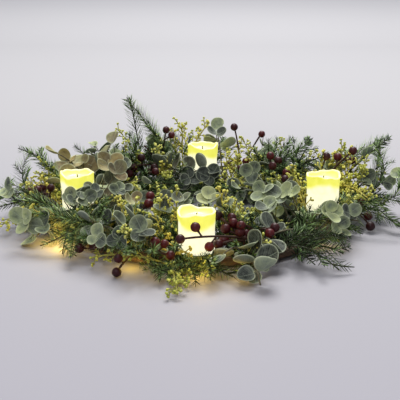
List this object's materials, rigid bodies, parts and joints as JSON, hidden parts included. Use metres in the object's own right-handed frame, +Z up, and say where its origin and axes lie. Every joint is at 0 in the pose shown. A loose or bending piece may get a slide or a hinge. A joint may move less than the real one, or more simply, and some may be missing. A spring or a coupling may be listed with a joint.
{
  "type": "advent wreath",
  "caption": "Round table wreath of fir, eucalyptus, berries and fine sprigs on a vine ring, with pillar candles lit from inside, one at each quarter.",
  "frame": {"origin": "middle of the outline on the surface that the wreath lies on", "axes": "+Z up, +X to the right along the line through two opposite candles, -Y towards the viewer of the picture"},
  "size_m": [0.6246, 0.5678, 0.1551],
  "materials": {
    "vine": "twisted bark, matt",
    "cup": "moulded, dull green",
    "light": "moulded, satin",
    "wax": "soft translucent wax with drips",
    "wick": "charred cord",
    "fir": "moulded needles, slight sheen",
    "eucalyptus": "dusty matt leaf",
    "berries": "dark red, satin",
    "sprig": "moulded, matt"
  },
  "bodies": {
    "root": {"vine_ring": "vine", "candle_cup_right": "cup", "light_unit_right": "light", "candle_wax_right": "wax", "wick_right": "wick", "candle_cup_back": "cup", "light_unit_back": "light", "candle_wax_back": "wax", "wick_back": "wick", "candle_cup_left": "cup", "light_unit_left": "light", "candle_wax_left": "wax", "wick_left": "wick", "candle_cup_front": "cup", "light_unit_front": "light", "candle_wax_front": "wax", "wick_front": "wick", "eucalyptus_front": "eucalyptus", "eucalyptus_right_front": "eucalyptus", "eucalyptus_inner_right": "eucalyptus", "eucalyptus_right_back": "eucalyptus", "eucalyptus_inner_back": "eucalyptus", "eucalyptus_back": "eucalyptus", "eucalyptus_back_left": "eucalyptus", "eucalyptus_inner_left": "eucalyptus", "eucalyptus_left": "eucalyptus", "eucalyptus_front_left": "eucalyptus", "berries_front_right": "berries", "berries_right": "berries", "berries_inner_right": "berries", "berries_back_right": "berries", "berries_back_left": "berries", "berries_left": "berries", "berries_front_left": "berries", "sprig_front_right": "sprig", "sprig_inner_right": "sprig", "sprig_right": "sprig", "sprig_back_right": "sprig", "sprig_back": "sprig", "sprig_left": "sprig", "sprig_front_left": "sprig", "sprig_front_low": "sprig", "fir_front_right": "fir", "fir_right": "fir", "fir_back_right": "fir", "fir_inner_back_right": "fir", "fir_back_left_tall": "fir", "fir_back_left": "fir", "fir_inner_back_left": "fir", "fir_left": "fir", "fir_front_left": "fir", "fir_front_low": "fir", "fir_low_right": "fir", "fir_low_left": "fir", "fir_inner_right": "fir"}
  },
  "joints": []
}
